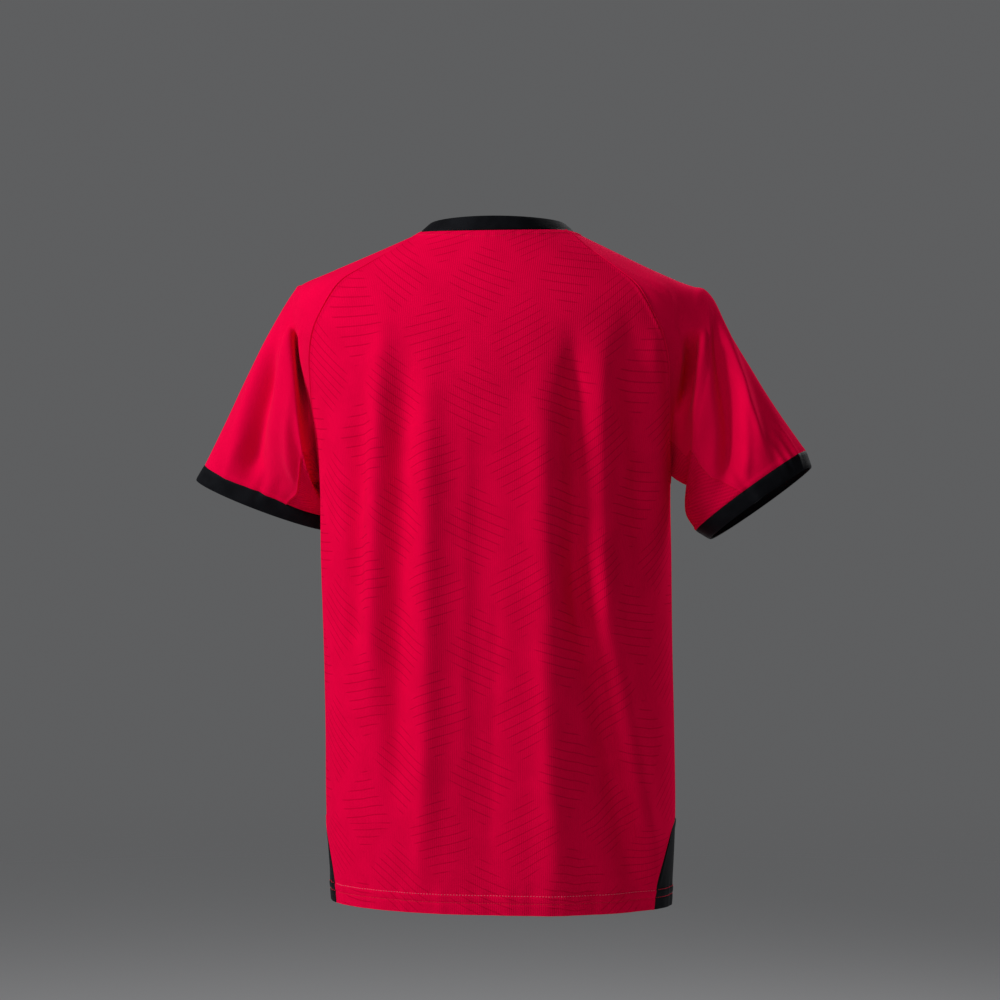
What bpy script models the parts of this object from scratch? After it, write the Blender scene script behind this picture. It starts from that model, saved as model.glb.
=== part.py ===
"""Football jersey with raglan sleeves, in the hollow form that it has when it is worn.

The origin is the centre of the neck at the height of the shoulder points. +Z is up, the front
faces -Y and the wearer's left is +X. Tables are in millimetres and degrees.

The cloth of back, front and shoulders lies on one body surface, given by closed rings from the
neck seam (row 0) through the underarm (row 10) to the hem (row 15). A place on it is a ring row
and a turn: 0 at the centre back, +90 at the wearer's left side, 180 at the centre front.
The sleeves leave that surface past the raglan seams and run through loops down to the cuffs.
"""

import bmesh
import bpy
import numpy as np
from mathutils import Vector

MM = 0.001
CLOTH = 1.5
RIB = 2.0
SEAM_GAP = 0.36
SHARP_ANGLE = 50

UNDERARM_ROW = 10.0
INSET_TOP_ROW = 14.0
HEM_ROW = 15.0
INSET_HALF_WIDTH = 42.0
INSET_ROUNDNESS = 0.6

# The wearer's right shoulder sits lower, from the neck outwards and down to the chest.
RIGHT_SHOULDER_DROP = 7.0
DROP_FROM_X, DROP_TO_X = 70, 180
DROP_FROM_ROW, DROP_TO_ROW = 4, 9

# How far the collar's edge stands inside its seam and above it, 15.5 along the rib.
COLLAR_SIDE_RUN, COLLAR_SIDE_RISE = 12, 10
COLLAR_BACK_RUN, COLLAR_BACK_RISE = 3, 15.5
COLLAR_FRONT_RUN, COLLAR_FRONT_RISE = 11, 11

RED = (0.60, 0.006, 0.022)
DEEP_RED = (0.52, 0.005, 0.018)
BLACK = (0.006, 0.007, 0.009)

RING_COLUMNS = (
    "half_width", "back", "front", "side_level", "back_level", "front_level",
    "raglan_back", "raglan_front", "lean",
)
# Levels are heights; raglan_back and raglan_front are the seam's turns from the centre lines.
RINGS = (
    (82, 62, 74, -1, -4, -82, 70, 62, 0),
    (120, 72, 84, -17, -20, -94, 56, 52, 0),
    (165, 82, 92, -36, -38, -108, 51, 47, 0),
    (199, 92, 98, -49, -58, -124, 50, 46, 1),
    (216, 100, 103, -62, -80, -141, 50, 46.5, 1),
    (223, 107, 107, -95, -105, -158, 54, 50.5, 2),
    (220, 112, 110, -125, -130, -175, 58.5, 56, 2),
    (210, 116, 112, -155, -158, -193, 64, 63, 2),
    (199, 118, 114, -185, -186, -211, 71, 70.5, 3),
    (191, 120, 116, -222, -222, -237, 78, 78.5, 3),
    (187, 120, 117, -268, -268, -268, 90, 90, 3),
    (187, 119, 116, -345, -345, -345, 90, 90, 2),
    (186, 117, 114, -435, -435, -435, 90, 90, 0),
    (186, 115, 112, -525, -525, -525, 90, 90, -2),
    (186, 113, 110, -618, -618, -618, 90, 90, -3),
    (181, 111, 108, -708, -708, -708, 90, 90, -4),
)

# A fold rises over the first share of its length and dies out over the last.
FADE_IN = (-0.12, 0.2)
FADE_OUT = (0.82, 1.12)
SIDEWAYS = 0.5
SIDE_FADE = (0.0, 0.3)
FOLD_COLUMNS = ("x_top", "top", "x_foot", "foot", "half_width", "height")
BACK_FOLDS = (
    (131, -190, 138, -440, 12, -7.5),
    (104, -110, 118, -480, 13, 8.0),
    (79, -140, 93, -600, 14, -7.5),
    (53, -160, 57, -650, 15, 8.0),
    (2, -200, -6, -708, 26, -5.5),
    (-64, -160, -78, -708, 18, 8.5),
    (-95, -125, -98, -430, 11, -8.5),
    (-92, -330, -158, -700, 13, -8.5),
    (-124, -125, -124, -430, 12, 7.0),
    (-119, -330, -170, -660, 13, 6.5),
    (-150, -105, -162, -370, 11, -5.0),
    (-176, -110, -176, -300, 9, 4.5),
)
FRONT_FOLDS = (
    (108, -190, 118, -520, 18, 5.5),
    (80, -210, 84, -640, 15, -6.0),
    (48, -300, 52, -708, 20, 5.0),
    (6, -260, 0, -700, 30, -4.5),
    (-50, -240, -62, -690, 20, 6.0),
    (-88, -190, -94, -600, 15, -6.5),
    (-122, -170, -120, -480, 17, 5.0),
    (-146, -400, -142, -690, 16, 4.0),
    (140, -380, 144, -690, 15, -4.0),
)

# A sleeve's place is a loop, 0 at the raglan seam and 10 at the cuff, and a share around it:
# 0 over the shoulder, +1 and -1 under the arm by way of the back and the front.
NECK_SHARE = 0.1
ARM_LOOP = 6.0
LAST_LOOP = 10.0
GUSSET_AT_ARMHOLE = 0.91
LEFT_GUSSET_AT_CUFF = 0.636
RIGHT_GUSSET_AT_CUFF = 0.54
GUSSET_TURNS = (5.2, 11.0)

# The hanging sleeve folds back over the armhole in a slit, deepest half way down.
SHOULDER_ROW = 3.3
SLIT_FOOT_ROW = 9.85
SLIT_TURN = 24.0
SLIT_SKEW = 0.8
SLIT_SLOPE = 1.4
SLIT_OPENS = (0.40, 0.66)
SLIT_CLOSES = (0.62, 0.90)

# At the shoulder's corner the cloth stands out a little, and so bends sharply.
CORNER_SHARES = (0.06, 0.35)
CORNER_POINT = (0.7, 0.0, 0.9)

# At the shoulder the points of a loop crowd over the top of the arm.
CROWDED = 0.68
CROWDED_POWER = 8
CROWDED_LOOPS = (-0.5, 3.5)

LOOP_COLUMNS = (
    "top_out", "top_level", "under_out", "under_level", "back_y", "half_depth", "back_drop",
)
LEFT_LOOPS = (
    (217, -57, 198, -268, 0, 43, 0),
    (249, -104, 194, -276, -10, 48, 2),
    (276, -150, 191.5, -285, -21, 46, 3),
    (303, -197, 190, -294, -36, 42, 4),
    (331, -245, 190, -302, -50, 38, 4),
    (342, -261, 192, -317, -54, 38, 5),
)
RIGHT_LOOPS = (
    (223, -65, 203, -270, 4, 39, 0),
    (241, -99, 201, -277, 4, 45, 0),
    (267, -145, 200, -285, 5, 43, 0),
    (296, -190, 201, -298, 7, 41, 0),
    (326, -233, 212, -316, 9, 38, -3),
    (332, -250, 227, -325, 9, 37, -3),
)
TUCK_COLUMNS = ("back_tuck", "front_tuck")
LEFT_TUCK = (38, 10)
RIGHT_TUCK = (36, 12)

ARM_FADE_IN = (-0.15, 0.25)
ARM_FADE_OUT = (0.7, 1.1)
ARM_FOLD_COLUMNS = ("from_turn", "from_loop", "to_turn", "to_loop", "width", "height")
LEFT_ARM_FOLDS = (
    (50, 6.8, 88, 10.0, 15, -12.0),
    (30, 6.6, 60, 10.0, 14, 4.0),
    (106, 7.0, 132, 10.0, 15, 4.0),
    (-60, 6.6, -70, 9.8, 18, -6.0),
    (-92, 7.0, -100, 9.8, 16, 4.5),
)
RIGHT_ARM_FOLDS = (
    (12, 6.6, 70, 9.9, 10, 6.0),
    (34, 6.7, 102, 9.6, 15, -9.0),
    (57, 6.3, 120, 9.0, 15, 4.0),
    (-52, 6.4, -66, 9.8, 18, -6.0),
    (-84, 6.6, -92, 9.6, 16, 5.0),
)

RAGLAN_ROWS = np.append(np.arange(0.0, 8.9, 0.75), (9.0, 9.25, 9.5, 9.75, 10.0))
GUSSET_STEPS = 4
SLEEVE_POINTS = 2 * (len(RAGLAN_ROWS) - GUSSET_STEPS + 2) - 1
LOWER_ROWS = np.arange(10.25, 14.1, 0.25)
INSET_ROWS = 14.0 + (1.0 - np.cos(np.linspace(0.0, np.pi / 2, 8)))[1:]
BACK_COLUMNS = 40
FRONT_COLUMNS = 22
INSET_COLUMNS = 6
SLEEVE_LOOPS = np.array((0, 0.8, 1.6, 2.4, 3, 3.5, 4, 5, 5.5, 6, 6.6, 7.2, 7.8, 8.5, 9.2, 10))
BAND_STEPS = 2
STEP = 0.01


def columns(names, rows):
    """The table as a dictionary with one array a column."""
    return dict(zip(names, np.array(rows, float).T))


def smooth(values, at):
    """The values at a fractional row number, on a smooth curve through the rows."""
    values = np.asarray(values, float)
    slopes = np.gradient(values, axis=0)
    row = np.clip(np.floor(at).astype(int), 0, len(values) - 2)
    t = at - row
    if values.ndim > 1:
        t = t[..., None]
    start = values[row] * (1 + 2 * t) * (1 - t) ** 2 + slopes[row] * t * (1 - t) ** 2
    end = values[row + 1] * t**2 * (3 - 2 * t) + slopes[row + 1] * t**2 * (t - 1)
    return start + end


def ease(value, limits):
    """0 below the limits, 1 above them and a soft step between."""
    t = np.clip((value - limits[0]) / (limits[1] - limits[0]), 0, 1)
    return t * t * (3 - 2 * t)


def unit(vectors):
    return vectors / np.maximum(np.linalg.norm(vectors, axis=-1, keepdims=True), 1e-9)


def surface_normal(surface, first, second):
    """Unit normals of surface(first, second), turned by the sign of its own rule."""
    along_first = surface(first + STEP, second) - surface(first - STEP, second)
    along_second = surface(first, second + STEP) - surface(first, second - STEP)
    return unit(np.cross(along_first, along_second))


BODY = columns(RING_COLUMNS, RINGS)


def ring_value(name, row):
    return smooth(BODY[name], row)


def plain_body(turn, row):
    """The body surface before its folds."""
    angle = np.radians(turn)
    behind = np.cos(angle) > 0
    depth = np.where(behind, ring_value("back", row), ring_value("front", row))
    far = np.where(behind, ring_value("back_level", row), ring_value("front_level", row))
    side = ring_value("side_level", row)
    x = ring_value("half_width", row) * np.sin(angle) + ring_value("lean", row)
    y = depth * np.cos(angle)
    z = side + (far - side) * np.cos(angle) ** 2
    lowered = ease(-x, (DROP_FROM_X, DROP_TO_X)) * (1 - ease(row, (DROP_FROM_ROW, DROP_TO_ROW)))
    return np.stack((x, y, z - RIGHT_SHOULDER_DROP * lowered), axis=-1)


def body_fold_height(points, behind):
    """How far the vertical folds lift or sink the cloth at points."""
    height = np.zeros(points.shape[:-1])
    for folds, here in ((BACK_FOLDS, behind), (FRONT_FOLDS, ~behind)):
        for row in folds:
            fold = dict(zip(FOLD_COLUMNS, row))
            share = (fold["top"] - points[..., 2]) / (fold["top"] - fold["foot"])
            centre = fold["x_top"] + (fold["x_foot"] - fold["x_top"]) * share
            across = np.exp(-(((points[..., 0] - centre) / fold["half_width"]) ** 2))
            along = ease(share, FADE_IN) * (1 - ease(share, FADE_OUT))
            height += np.where(here, fold["height"] * across * along, 0)
    return height


def body_surface(turn, row):
    """The body surface with its folds, which move it straight out or in."""
    turn, row = np.broadcast_arrays(np.asarray(turn, float), np.asarray(row, float))
    points = plain_body(turn, row)
    angle = np.radians(turn)
    out = np.stack((np.sin(angle) * SIDEWAYS, np.cos(angle), np.zeros(angle.shape)), axis=-1)
    height = body_fold_height(points, np.cos(angle) > 0)
    height = height * ease(np.abs(np.cos(angle)), SIDE_FADE)
    return points + unit(out) * height[..., None]


def body_normal(turn, row):
    turn, row = np.broadcast_arrays(np.asarray(turn, float), np.asarray(row, float))
    return surface_normal(body_surface, turn, row)


def raglan_turn(row, front):
    """The turn of the raglan seam on the wearer's left at a ring row."""
    if front:
        return 180 - ring_value("raglan_front", row)
    return ring_value("raglan_back", row)


def inset_turn(row):
    """Half the side inset's width as a turn about the side seam."""
    rise = np.clip(HEM_ROW - row, 0, 1)
    width = INSET_HALF_WIDTH * (1 - rise**2) ** INSET_ROUNDNESS
    depth = (ring_value("back", row) + ring_value("front", row)) / 2
    return np.degrees(width / depth)


def panel_edge(row, front):
    """The turn at which a body panel ends: raglan seam, side seam, then the inset's edge."""
    name = "raglan_front" if front else "raglan_back"
    raglan = ring_value(name, np.minimum(row, UNDERARM_ROW))
    seam = np.where(row < UNDERARM_ROW, raglan, 90.0)
    return seam - np.where(row > INSET_TOP_ROW, inset_turn(row), 0.0)


def arm_angle(around, number):
    """The angle round the arm: crowded over the shoulder at the armhole, even at the cuff."""
    at_armhole = around * (CROWDED + (1 - CROWDED) * around**CROWDED_POWER)
    crowding = 1 - ease(number, CROWDED_LOOPS)
    wrap = np.where(np.abs(around) > 1, around, around + (at_armhole - around) * crowding)
    return np.pi * wrap


def loop_point(loops, around, number):
    """A point of the sleeve loops at a fractional loop number."""
    table = columns(LOOP_COLUMNS, loops)
    part = {name: smooth(values, number) for name, values in table.items()}
    angle = arm_angle(around, number)
    middle_out = (part["top_out"] + part["under_out"]) / 2
    middle_level = (part["top_level"] + part["under_level"]) / 2
    x = middle_out + (part["top_out"] - part["under_out"]) / 2 * np.cos(angle)
    y = part["back_y"] + part["half_depth"] * np.sin(angle)
    z = middle_level + (part["top_level"] - part["under_level"]) / 2 * np.cos(angle)
    return np.stack((x, y, z - part["back_drop"] * np.sin(angle)), axis=-1)


def armhole_place(around):
    """Turn and row of the sleeve's own edge: neck seam, then raglan seam to the underarm."""
    size = np.abs(around)
    share = np.clip(size / NECK_SHARE, 0, 1)
    row = UNDERARM_ROW * np.clip((size - NECK_SHARE) / (1 - NECK_SHARE), 0, 1)
    back = np.where(size < NECK_SHARE, 90 + (raglan_turn(0 * row, False) - 90) * share,
                    raglan_turn(row, False))
    front = np.where(size < NECK_SHARE, 90 + (raglan_turn(0 * row, True) - 90) * share,
                     raglan_turn(row, True))
    return np.where(around >= 0, back, front), row


def slit_place(around):
    """Turn and row of the edge where the cloth leaves the body surface for the arm."""
    share = np.abs(around) ** SLIT_SLOPE
    row = SHOULDER_ROW + (SLIT_FOOT_ROW - SHOULDER_ROW) * share
    skewed = np.sign(around) * np.abs(around) ** SLIT_SKEW
    return 90 - SLIT_TURN * np.sin(np.pi * skewed), row


def sleeve_loops(side, around):
    """The eleven loops that a sleeve passes through, as on the wearer's left."""
    loops = LEFT_LOOPS if side > 0 else RIGHT_LOOPS
    tuck = dict(zip(TUCK_COLUMNS, LEFT_TUCK if side > 0 else RIGHT_TUCK))
    mirror = np.array((side, 1, 1))
    first = loop_point(loops, around, np.zeros(around.shape))
    start_turn, start_row = armhole_place(around)
    end_turn, end_row = slit_place(around)
    start = body_surface(side * start_turn, start_row) * mirror
    made = [start]
    for share in (1 / 3, 2 / 3, 1.0):
        turn = start_turn + (end_turn - start_turn) * share
        row = start_row + (end_row - start_row) * share
        made.append(body_surface(side * turn, row) * mirror)
    size = np.abs(around)
    depth = ease(size, SLIT_OPENS) * (1 - ease(size, SLIT_CLOSES))
    pull = np.where(around > 0, -tuck["back_tuck"], tuck["front_tuck"]) * depth
    edge = made[-1]
    for share in (1 / 3, 2 / 3):
        floor = edge + (first - edge) * share
        floor[..., 1] += pull
        made.append(floor)
    made[-1] += (1 - ease(size, CORNER_SHARES))[..., None] * np.array(CORNER_POINT)
    for number in range(5):
        made.append(loop_point(loops, around, np.full(around.shape, float(number))))
    return np.stack(made)


def arm_fold_height(side, around, loop):
    """How far the sleeve's folds lift or sink the cloth."""
    folds = LEFT_ARM_FOLDS if side > 0 else RIGHT_ARM_FOLDS
    height = np.zeros(around.shape)
    for row in folds:
        fold = dict(zip(ARM_FOLD_COLUMNS, row))
        share = (loop - fold["from_loop"]) / (fold["to_loop"] - fold["from_loop"])
        centre = fold["from_turn"] + (fold["to_turn"] - fold["from_turn"]) * share
        turn = np.degrees(arm_angle(around, loop - ARM_LOOP))
        across = np.exp(-(((turn - centre) / fold["width"]) ** 2))
        along = ease(share, ARM_FADE_IN) * (1 - ease(share, ARM_FADE_OUT))
        height += fold["height"] * across * along
    return height


def directions(loops, length):
    """The direction of the curve through the loops at each, weighted to the nearer neighbour."""
    runs = np.diff(loops, axis=0) / length
    middle = (runs[:-1] * length[1:] + runs[1:] * length[:-1]) / (length[1:] + length[:-1])
    return np.concatenate((runs[:1], middle, runs[-1:]))


def sleeve_surface(side):
    """The sleeve's outer surface as a function of around (-1 to 1) and loop (0 to 10)."""
    mirror = np.array((side, 1, 1))

    def plain(around, loop):
        loops = sleeve_loops(side, around)
        length = np.linalg.norm(np.diff(loops, axis=0), axis=-1, keepdims=True)
        row = np.clip(np.floor(loop).astype(int), 0, len(loops) - 2)
        t = (loop - row)[..., None]
        here = (row,) + tuple(np.indices(around.shape))
        after = (row + 1,) + tuple(np.indices(around.shape))
        slopes = directions(loops, length)
        start = loops[here] * (1 + 2 * t) * (1 - t) ** 2
        end = loops[after] * t**2 * (3 - 2 * t)
        bend = slopes[here] * t * (1 - t) ** 2 + slopes[after] * t**2 * (t - 1)
        return (start + end + bend * length[here]) * mirror

    def folded(around, loop):
        around, loop = np.broadcast_arrays(np.asarray(around, float), np.asarray(loop, float))
        lift = arm_fold_height(side, around, loop)
        normal = surface_normal(plain, around, loop) * -side
        return plain(around, loop) + normal * lift[..., None]

    return folded


def wrapped(around):
    """Around values past 1 come back in from -1."""
    return np.where(around > 1, around - 2, around)


def gusset_edge(side, loop):
    """Where the gusset's seam lies around the sleeve at each loop."""
    at_cuff = LEFT_GUSSET_AT_CUFF if side > 0 else RIGHT_GUSSET_AT_CUFF
    share = ease(loop, GUSSET_TURNS) / ease(LAST_LOOP, GUSSET_TURNS)
    return GUSSET_AT_ARMHOLE + (at_cuff - GUSSET_AT_ARMHOLE) * share


def armhole_samples():
    """Places around the armhole: the neck seam's share, then every ring row of the raglan."""
    raglan = NECK_SHARE + (1 - NECK_SHARE) * RAGLAN_ROWS / UNDERARM_ROW
    return np.concatenate(((0, NECK_SHARE / 2), raglan))


def sleeve_samples():
    """The sleeve panel's share of those places, as shares of its own half width."""
    half = armhole_samples()[:-GUSSET_STEPS] / GUSSET_AT_ARMHOLE
    return np.concatenate((-half[:0:-1], half))


def gusset_samples():
    """The gusset's share of them, as shares from its back seam round to its front seam."""
    places = armhole_samples()[-GUSSET_STEPS - 1:]
    half = (places - GUSSET_AT_ARMHOLE) / (1 - GUSSET_AT_ARMHOLE)
    return np.concatenate((half, 2 - half[-2::-1]))


def around_ring(edge):
    """Around values of one whole loop: over the sleeve panel, then under by the gusset."""
    under = edge + (1 - edge) * gusset_samples()[1:-1]
    return np.concatenate((edge * sleeve_samples(), wrapped(under)))


def ring_grid_normals(points):
    """Normals of a grid that closes on itself: each the mean of the squares around it."""
    after = np.roll(points, -1, axis=1)
    squares = unit(np.cross(after[1:] - points[:-1], points[1:] - after[:-1]))
    both = squares + np.roll(squares, 1, axis=1)
    normals = np.zeros(points.shape)
    normals[:-1] += both
    normals[1:] += both
    return unit(normals)


def cuff_end(side, around):
    """Points on the free edge of the cuff."""
    loops = LEFT_LOOPS if side > 0 else RIGHT_LOOPS
    last = np.full(around.shape, float(len(loops) - 1))
    return loop_point(loops, around, last) * np.array((side, 1, 1))


def sleeve_tube(side):
    """Points and normals all round the sleeve, loop by loop, the last on the cuff's edge."""
    around = np.stack([around_ring(gusset_edge(side, loop)) for loop in SLEEVE_LOOPS])
    loop = np.repeat(SLEEVE_LOOPS[:, None], around.shape[1], axis=1)
    points = np.concatenate((sleeve_surface(side)(around, loop), cuff_end(side, around[-1])[None]))
    normals = ring_grid_normals(points) * -side
    turn, row = armhole_place(around[0])
    normals[0] = body_normal(side * turn, row)
    return points, normals


def draw_edges_in(outer, normals, closed):
    """The outer points with each free edge drawn in by half the seam gap."""
    outer = outer.copy()
    edges = [(0, 1, 0), (-1, -2, 0)]
    if not closed:
        edges += [(0, 1, 1), (-1, -2, 1)]
    for edge, inner, axis in edges:
        line = outer[edge] if axis == 0 else outer[:, edge]
        toward = (outer[inner] if axis == 0 else outer[:, inner]) - line
        normal = normals[edge] if axis == 0 else normals[:, edge]
        if closed:
            run = np.roll(line, -1, axis=0) - np.roll(line, 1, axis=0)
        else:
            run = np.gradient(line, axis=0)
        inward = unit(np.cross(normal, unit(run)))
        inward *= np.sign(np.sum(inward * toward, axis=-1, keepdims=True))
        line += inward * SEAM_GAP / 2
    return outer


def split_square(points, ring):
    """Two triangles on the shorter diagonal, so that both sides of the wall fold alike."""
    first, second, third, fourth = ring
    across = np.linalg.norm(points[first] - points[third])
    if across < np.linalg.norm(points[second] - points[fourth]):
        return (first, second, third), (first, third, fourth)
    return (first, second, fourth), (second, third, fourth)


def cloth_object(name, outer, normals, wall, material, closed=False):
    """A closed wall between the outer points and the same points moved in by the wall."""
    outer = draw_edges_in(outer, normals, closed)
    rows, across = outer.shape[:2]
    points = np.concatenate((outer.reshape(-1, 3), (outer - normals * wall).reshape(-1, 3)))
    below = rows * across

    def corner(row, column):
        return row * across + column % across

    faces = []
    last = across if closed else across - 1
    for row in range(rows - 1):
        for column in range(last):
            ring = (corner(row, column), corner(row, column + 1),
                    corner(row + 1, column + 1), corner(row + 1, column))
            for triangle in split_square(points, ring):
                faces.append(triangle)
                faces.append(tuple(below + place for place in reversed(triangle)))
    for column in range(last):
        for row, step in ((0, 1), (rows - 1, -1)):
            pair = (corner(row, column), corner(row, column + 1))[::step]
            faces.append((pair[1], pair[0], below + pair[0], below + pair[1]))
    if not closed:
        for row in range(rows - 1):
            for column, step in ((0, -1), (across - 1, 1)):
                pair = (corner(row, column), corner(row + 1, column))[::step]
                faces.append((pair[1], pair[0], below + pair[0], below + pair[1]))
    return mesh_object(name, points, faces, material)


def mesh_object(name, points, faces, material):
    """One smooth-shaded object, its faces pointing out, under the jersey's empty."""
    mesh = bpy.data.meshes.new(name)
    mesh.from_pydata([Vector(point * MM) for point in points], [], faces)
    solid = bmesh.new()
    solid.from_mesh(mesh)
    bmesh.ops.recalc_face_normals(solid, faces=solid.faces)
    solid.to_mesh(mesh)
    solid.free()
    mesh.shade_smooth()
    mesh.set_sharp_from_angle(angle=np.radians(SHARP_ANGLE))
    mesh.materials.append(material)
    made = bpy.data.objects.new(name, mesh)
    made.parent = bpy.data.objects["jersey"]
    bpy.context.collection.objects.link(made)
    return made


def cloth_material(name, colour, roughness):
    material = bpy.data.materials.new(name)
    material.use_nodes = True
    shader = material.node_tree.nodes["Principled BSDF"]
    shader.inputs["Base Color"].default_value = (*colour, 1)
    shader.inputs["Roughness"].default_value = roughness
    shader.inputs["Metallic"].default_value = 0.0
    return material


def spread(edge, count):
    """Turns from -edge to edge, half evenly by turn and half evenly by width."""
    share = np.linspace(-1, 1, count + 1)
    by_width = np.degrees(np.arcsin(share * np.sin(np.radians(edge))))
    return (edge * share + by_width) / 2


def body_panel(name, front, count, material):
    """Back or front panel, from the neck seam down to the hem."""
    rows = np.concatenate((RAGLAN_ROWS, LOWER_ROWS, INSET_ROWS))
    turn = spread(panel_edge(rows, front)[:, None], count)
    if front:
        turn = 180 - turn
    row = np.repeat(rows[:, None], count + 1, axis=1)
    return cloth_object(name, body_surface(turn, row), body_normal(turn, row), CLOTH, material)


def side_inset(name, side, material):
    """Rounded inset over the foot of a side seam."""
    rows = np.append(INSET_TOP_ROW, INSET_ROWS)[1:]
    share = np.linspace(-1, 1, INSET_COLUMNS + 1)
    turn = side * 90 + inset_turn(rows)[:, None] * share[None, :]
    row = np.repeat(rows[:, None], INSET_COLUMNS + 1, axis=1)
    return cloth_object(name, body_surface(turn, row), body_normal(turn, row), CLOTH, material)


def sleeve_pieces(word, side, interlock, mesh_cloth, rib):
    """Raglan sleeve, its underarm gusset and its cuff, on one tube of points."""
    points, normals = sleeve_tube(side)
    over = np.arange(SLEEVE_POINTS)
    under = np.append(np.arange(SLEEVE_POINTS - 1, points.shape[1]), 0)
    for name, part, material in (("sleeve_", over, interlock), ("gusset_", under, mesh_cloth)):
        cloth_object(name + word, points[:-1, part], normals[:-1, part], CLOTH, material)
    band_between("cuff_" + word, points[-2:], normals[-2:], rib)


def band_between(name, edges, normals, material):
    """A closed band of rib from a seam's ring of points to another ring, slightly rounded."""
    steps = np.linspace(0, 1, BAND_STEPS + 1)[:, None, None]
    turned = unit(normals[0] + (normals[1] - normals[0]) * steps)
    outer = edges[0] + (edges[1] - edges[0]) * steps + turned * np.sin(np.pi * steps) * RIB / 4
    return cloth_object(name, outer, turned, RIB, material, closed=True)


def neck_turns():
    """Turns round the neck seam at which the four panels below have their points."""
    back = spread(BODY["raglan_back"][0], BACK_COLUMNS)
    front = 180 + spread(BODY["raglan_front"][0], FRONT_COLUMNS)
    left = armhole_place(np.array((0.5, 0, -0.5)) * NECK_SHARE)[0]
    return np.sort(np.concatenate((back, left, front, 360 - left)))


def collar(material):
    """Crew collar: a band that leans in over the neck, more at the sides and the front."""
    turn = neck_turns()
    foot = body_surface(turn, np.zeros(turn.shape))
    angle = np.radians(turn)
    behind = np.cos(angle) > 0
    far_rise = np.where(behind, COLLAR_BACK_RISE, COLLAR_FRONT_RISE)
    rise = COLLAR_SIDE_RISE + (far_rise - COLLAR_SIDE_RISE) * np.cos(angle) ** 2
    width = BODY["half_width"][0] - COLLAR_SIDE_RUN
    depth = np.where(behind, BODY["back"][0] - COLLAR_BACK_RUN, BODY["front"][0] - COLLAR_FRONT_RUN)
    top = np.stack((width * np.sin(angle), depth * np.cos(angle), foot[:, 2] + rise), axis=-1)
    edges = np.stack((foot, top))
    mitre = body_normal(turn, np.zeros(turn.shape))
    normals = np.stack((mitre, -ring_grid_normals(edges)[1]))
    return band_between("collar", edges, normals, material)


def clear_scene():
    for thing in list(bpy.data.objects):
        bpy.data.objects.remove(thing)


def build_jersey():
    empty = bpy.data.objects.new("jersey", None)
    bpy.context.collection.objects.link(empty)
    knit = cloth_material("red_rib_mesh_knit", RED, 0.62)
    interlock = cloth_material("red_interlock", RED, 0.5)
    mesh_cloth = cloth_material("red_micro_mesh", DEEP_RED, 0.65)
    rib = cloth_material("black_rib", BLACK, 0.6)
    body_panel("back", False, BACK_COLUMNS, knit)
    body_panel("front", True, FRONT_COLUMNS, knit)
    for word, side in (("left", 1), ("right", -1)):
        sleeve_pieces(word, side, interlock, mesh_cloth, rib)
        side_inset("side_inset_" + word, side, rib)
    collar(rib)


clear_scene()
build_jersey()
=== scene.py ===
"""Looks of the football jersey: thin cloth shells on its solids, with creases, seams and stitches.

Body and sleeves follow the rings, loops and folds of the solids, and add finer creases.
Tables are in millimetres and degrees; +Z is up, the front faces -Y, the wearer's left is +X.
"""

import math

import bpy
import numpy as np
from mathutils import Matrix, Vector


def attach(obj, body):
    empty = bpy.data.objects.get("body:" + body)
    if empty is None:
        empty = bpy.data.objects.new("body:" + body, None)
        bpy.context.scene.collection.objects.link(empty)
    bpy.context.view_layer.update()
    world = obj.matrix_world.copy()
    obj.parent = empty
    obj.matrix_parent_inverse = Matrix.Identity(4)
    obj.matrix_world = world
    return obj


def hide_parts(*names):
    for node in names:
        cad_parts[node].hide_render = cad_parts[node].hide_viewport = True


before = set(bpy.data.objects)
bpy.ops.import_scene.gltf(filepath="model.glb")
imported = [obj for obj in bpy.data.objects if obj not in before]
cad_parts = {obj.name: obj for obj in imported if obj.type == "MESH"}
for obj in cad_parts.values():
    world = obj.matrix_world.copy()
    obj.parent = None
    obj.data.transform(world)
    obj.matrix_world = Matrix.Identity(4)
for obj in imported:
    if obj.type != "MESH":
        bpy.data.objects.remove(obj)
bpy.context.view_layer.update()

MM = 0.001
SHELL = 0.9
RIB_SHELL = 1.7
BAND_SWELL, BAND_FLATNESS = RIB_SHELL / 3, 6
SEAM_GAP = 0.06
SHARP_ANGLE = 55

SIDE_TURN = 90
UNDERARM_ROW = 10.0
INSET_TOP_ROW = 14.0
HEM_ROW = 15.0
HEM_LEVEL = -708.0
LAST_RING_HEIGHT = 90.0
INSET_HALF_WIDTH = 42.0
INSET_ROUNDNESS = 0.6
RIGHT_SHOULDER_DROP = 7.0
DROP_STARTS, DROP_ENDS = (70, 180), (4, 9)
COLLAR_SIDE_RUN, COLLAR_SIDE_RISE = 12, 10
COLLAR_BACK_RUN, COLLAR_BACK_RISE = 3, 15.5
COLLAR_FRONT_RUN, COLLAR_FRONT_RISE = 11, 11

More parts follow.
